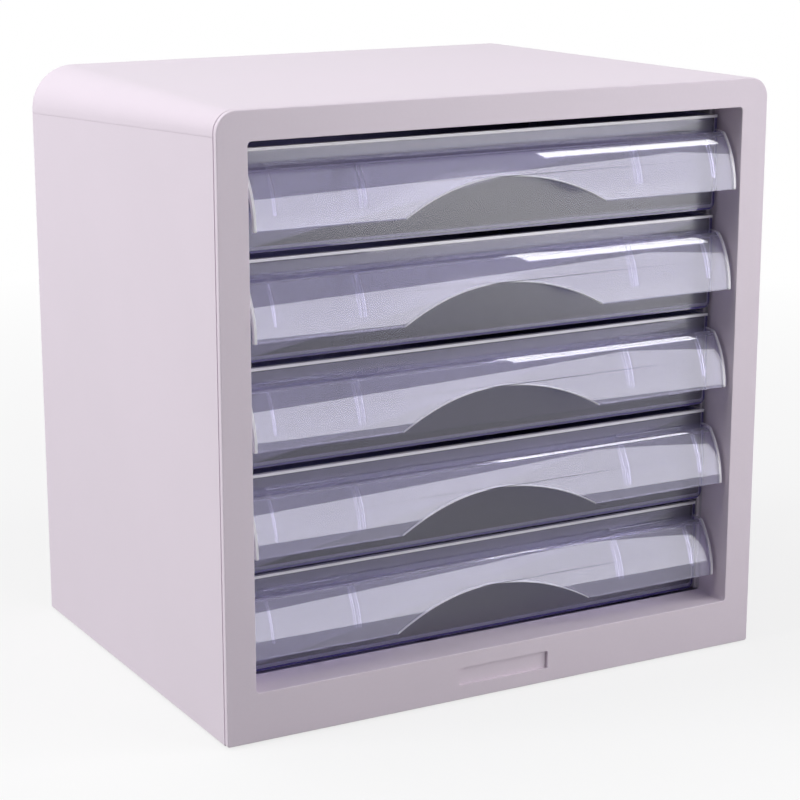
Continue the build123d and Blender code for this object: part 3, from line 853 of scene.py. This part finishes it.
right_parts = [hood_rib(138.5, 1.2), hood_rib(85.5, 0.9), hood_rib(88.5, 0.9)]
hook_start = 2.5
clip = start_box("clip", (90.1, 136.9), (-1.5, 4.2), (-10.3, -8.4))
with editing(clip, "FACE"):
    cut_across("y", hook_start)
    bpy.ops.mesh.select_all(action="DESELECT")
    pick(clip, "FACE", lambda p, way: way.z < -0.9 and p.y > hook_start)
    extrude(0, 0, -1.2)
round_edges(clip, 0.5, 2, lambda p, way: abs(way.x) > 0.9 and p.y > 4)
print("made", len(right_parts), "ribs and a clip of", len(clip.data.polygons), "faces")

# %% See that they are closed, mirror them and melt them into the hood
def open_edges(part):
    """How many edges of a piece don't have two faces: none on a closed solid."""
    uses = {}
    for face in part.data.polygons:
        for key in face.edge_keys:
            uses[key] = uses.get(key, 0) + 1
    return sum(1 for count in uses.values() if count != 2)


for part in right_parts + [clip, pull]:
    first, last = ([round(v / mm, 1) for v in part.bound_box[corner]] for corner in (0, 6))
    print(part.name, "open edges:", open_edges(part), "box", first, last)
small_parts = right_parts + [clip]
small_parts += [mirrored(part) for part in small_parts]
for part in small_parts:
    round_creases(part, 0.15, 2, 40)
only(pull)
for part in small_parts:
    part.select_set(True)
bpy.ops.object.join()
shade(pull)
pull.name = "hooded_pull"
print("hood with ribs and clips, open edges:", open_edges(pull), "faces:", len(pull.data.polygons))

# %% [markdown]
# ## Edges with a painted highlight
# The two ends of a hood and the edge of its arch are where the sheet was cut. The plastic
# there is cloudy, and the bright highlight that these rounded edges catch is painted on as a
# pale finish. Those faces are picked by place and given that painted highlight. Then the hood
# is copied to every drawer, and each copy goes where the CAD node of its pull is.

# %% Finish the hood and set one on every drawer
def edge_finishes(piece, material, marks):
    """Gives a clear piece its own plastic, and another finish to the faces that pass a test."""
    piece.data.materials.clear()
    piece.data.materials.append(material)
    for number, (finish, test) in enumerate(marks, start=1):
        piece.data.materials.append(finish)
        with editing(piece, "FACE"):
            chosen = pick(piece, "FACE", test)
            piece.active_material_index = number
            bpy.ops.object.material_slot_assign()
        print(piece.name, "has", chosen, "faces of", finish.name)


def set_on_drawers(piece, node, offset, material):
    """Copies a finished piece to each drawer, each with its own mesh, and removes the first."""
    for number in range(1, len(drawers) + 1):
        only(piece)
        bpy.ops.object.duplicate()
        copy = bpy.context.object
        _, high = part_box(f"{node}_{number}")
        copy.location = (0, high[1] - offset[0] * mm, high[2] - offset[1] * mm)
        settle(copy, f"{piece.name}_{number}")
        join_frame(copy, f"drawer_{number}", f"{node}_{number}", material)
    bpy.data.objects.remove(piece)


def on_a_cut(p, way):
    """True on the two ends of the hood and on the edge of its arch."""
    off_the_arch = abs(sqrt(p.x ** 2 + (p.z - arch_centre_z) ** 2) - arch_radius)
    near_arch = off_the_arch < 0.8 and p.z < hood_low + arch_height + 0.8
    return abs(p.x) > plate_half - end_strip or (near_arch and (abs(way.y) < 0.85 or abs(p.x) > 2))


clip_back = 4.2
# The pale finish on the cut ends and on the arch edge is a painted highlight.
edge_finishes(pull, clear_pull, [(painted_highlight_edge, on_a_cut)])
set_on_drawers(pull, "drawer_pull", (clip_back, hood_top), clear_pull)

# %% [markdown]
# ## The clear trays
# A tray is a thin box open at the top, so its top face is inset by the wall and pushed down.
# The front plate is taller and wider than the box, with rounded lower corners, and a bead
# runs round the rim. Two windows let the clips of the pull through, and a small lug on each
# side stops the drawer before it falls out.

# %% Model the box of a tray and its rim bead
tray_half = 151.3
tray_back = 229.0
tray_low = -52
tray_wall = 1.8
tray_floor = 2
bead_high = 2
bead_out = 1.2
tray = start_box("tray", (-tray_half, tray_half), (0.4, tray_back), (tray_low, 0))
round_edges(tray, 6.0, 8, lambda p, way: abs(way.z) > 0.9 and p.y > 200)
round_edges(tray, 1.6, 4, lambda p, way: p.z < tray_low + 0.1 and p.y > 1)
with editing(tray, "FACE"):
    pick(tray, "FACE", lambda p, way: way.z > 0.9)
    bpy.ops.mesh.inset(thickness=tray_wall * mm, use_even_offset=True)
    extrude(0, 0, tray_low + tray_floor)
round_edges(tray, 1.8, 4, lambda p, way: (
    abs(p.z - tray_low - tray_floor) < 0.05 and abs(way.z) < 0.1))
with editing(tray, "FACE"):
    cut_across("z", -bead_high)
    bpy.ops.mesh.select_all(action="DESELECT")
    pick(tray, "FACE", lambda p, way: p.z > -bead_high and abs(way.z) < 0.1 and (
        (abs(way.x) > 0.1 and p.x * way.x > 145) or (way.y > 0.1 and p.y > 222)))
    bpy.ops.mesh.extrude_region_shrink_fatten(
        TRANSFORM_OT_shrink_fatten={"value": bead_out * mm, "use_even_offset": True})
print("tray box with its bead:", len(tray.data.polygons), "faces")

# %% Model the front plate and melt it to the tray
plate_low = -54.8
plate_wall = 2.2
lip_low = -1.6
skirt_line = 1.2 + plate_low
plate = start_box("front_plate", (-plate_half, plate_half), (0, plate_wall), (plate_low, 0))
round_edges(plate, 4.0, 8, lambda p, way: abs(way.y) > 0.9 and p.z < -50)
with editing(plate, "FACE"):
    for axis, level in (("z", lip_low), ("z", skirt_line), ("x", tray_half), ("x", -tray_half)):
        cut_across(axis, level)
    bpy.ops.mesh.select_all(action="DESELECT")
    pick(plate, "FACE", lambda p, way: way.y < -0.9 and p.z > lip_low)
    extrude(0, -0.6, 0)
combine(tray, plate, "UNION")
print("tray with its front plate, open edges:", open_edges(tray))

# %% Lugs and clip windows
lug = start_box("lug", (151.0, 154.2), (187.6, 199.6), (-30, -22))
with editing(lug, "VERT"):
    pick(lug, "VERT", lambda p, way: p.x > 154 and p.y > 199)
    bpy.ops.transform.translate(value=(0, -9 * mm, 0))
combine(tray, mirrored(lug), "UNION")
combine(tray, lug, "UNION")
clip_window = start_box("clip_window", (89.8, 137.2), (-2, 4), (-11.8, -8.1))
combine(tray, mirrored(clip_window), "DIFFERENCE")
combine(tray, clip_window, "DIFFERENCE")
print("tray before softening, open edges:", open_edges(tray), "faces:", len(tray.data.polygons))
soften(tray, 0.3)
tray.name = "clear_tray"

# %% [markdown]
# ## Painted highlights and painted shade on the edges of the front plate
# The rim of the tray, the lip along the top of its front and its lowest edge catch the light,
# and that highlight is painted on as a pale finish. The strip over that lowest edge and the two
# upright ends of the plate look deep blue, because the tint of the whole plate shows there,
# and that is painted on as deep blue shade. Both painted finishes go on by place.

# %% Finish the tray and set one on every drawer
highlight_low = -54.5


def on_a_painted_highlight(p, way):
    """True on the rim, on the lip along the top of the front and on its lowest edge, where a
    highlight is painted.
    """
    return p.z > -0.4 or (p.y < -0.4 and p.z > -1.3) or (p.y < 0.5 and p.z < highlight_low)


def on_a_painted_shade_edge(p, way):
    """True on the strip over the lowest edge of the front and on its two upright ends, where deep
    blue shade is painted.
    """
    return p.y < 0.5 and highlight_low < p.z < -1.5 and (p.z < skirt_line or abs(p.x) > tray_half)


bead_back = 230.2
# The pale finish is a painted highlight, and the deep blue finish is painted shade.
edge_finishes(tray, clear_tray, [(painted_highlight_edge, on_a_painted_highlight), (painted_shade_edge, on_a_painted_shade_edge)])
set_on_drawers(tray, "drawer_tray", (bead_back, 0.0), clear_tray)

# %% [markdown]
# ## Feet and screws
# Small parts are modelled once and copied. A foot is a low disc with a rounded tread and a
# shallow ring pressed into it. A screw has a flat round head with a cross recess, and a plain
# shank. Each set stands in for one CAD node, so the four copies are joined into one piece.

# %% Model the feet
def start_disc(name, radius, low, high, points):
    """A cylinder primitive between two levels in millimetres."""
    bpy.ops.object.select_all(action="DESELECT")
    bpy.ops.mesh.primitive_cylinder_add(
        vertices=points, radius=radius * mm, depth=(high - low) * mm,
        location=(0, 0, (low + high) / 2 * mm))
    return settle(bpy.context.object, name)


def four_copies(piece, x, y):
    """Joins four copies of a piece, one towards each corner of the case, into one piece."""
    copies = []
    for side in (-1, 1):
        for end in (-1, 1):
            only(piece)
            bpy.ops.object.duplicate()
            copy = bpy.context.object
            copy.location = (side * x * mm, end * y * mm, 0)
            bpy.ops.object.transform_apply(location=True, rotation=True, scale=True)
            copies.append(copy)
    only(copies[0])
    for copy in copies[1:]:
        copy.select_set(True)
    bpy.ops.object.join()
    bpy.data.objects.remove(piece)
    return copies[0]


def from_axis(p):
    """The distance of a point from the upright axis of the foot."""
    return Vector((p.x, p.y)).length


foot_radius = 7.0
foot = start_disc("foot", foot_radius, 0.0, 2.2, 48)
with editing(foot, "FACE"):
    pick(foot, "FACE", lambda p, way: way.z < -0.9)
    bpy.ops.mesh.inset(thickness=1.6 * mm)
    bpy.ops.mesh.inset(thickness=1.0 * mm)
    pick(foot, "FACE", lambda p, way: way.z < -0.9 and from_axis(p) < 1)
    extrude(0, 0, 0.4)
round_edges(foot, 0.5, 3, lambda p, way: p.z < 0.01 and from_axis(p) > foot_radius - 0.1)
only(foot)
bpy.ops.object.shade_smooth_by_angle(angle=radians(40))
feet = four_copies(foot, 150, 110)
feet.name = "rubber_pads"
join_frame(feet, "case", "rubber_feet", foot_rubber)

# %% Model the screws
cross_long = 1.5
cross_wide = 0.32
screw = start_disc("screw", 2.8, case_low, 2.4, 40)
round_edges(screw, 0.25, 2, lambda p, way: p.z < 1.21)
shank = start_disc("shank", 1.45, 2.2, 11.2, 24)
round_edges(shank, 0.6, 2, lambda p, way: p.z > 11.1)
combine(screw, shank, "UNION")
for x, y in ((cross_wide, cross_long), (cross_long, cross_wide)):
    combine(screw, start_box("cross_slot", (-x, x), (-y, y), (0.5, 2.0)), "DIFFERENCE")
only(screw)
bpy.ops.object.shade_smooth_by_angle(angle=radians(35))
screws = four_copies(screw, 161, 90.5)
screws.name = "base_screw_set"
join_frame(screws, "case", "base_screws", screw_steel)

# %% [markdown]
# ## CAD parts that stay
# The base, the back panel and the runner racks have the right shape already, and most of
# them is hidden, so they keep their CAD meshes and only get the finishes. The racks get a
# darker grey than the case plastic, which is painted shade for the dim inside of the case.

# %% Dress the CAD parts
for name, material in (("base_panel", case_plastic), ("back_panel", case_plastic),
                       ("left_runner_rack", rack_plastic_with_painted_shade), ("right_runner_rack", rack_plastic_with_painted_shade)):
    node = frame["nodes"][name]
    node.data.materials.clear()
    node.data.materials.append(material)
    print(name, "keeps its CAD mesh, finish", material.name)
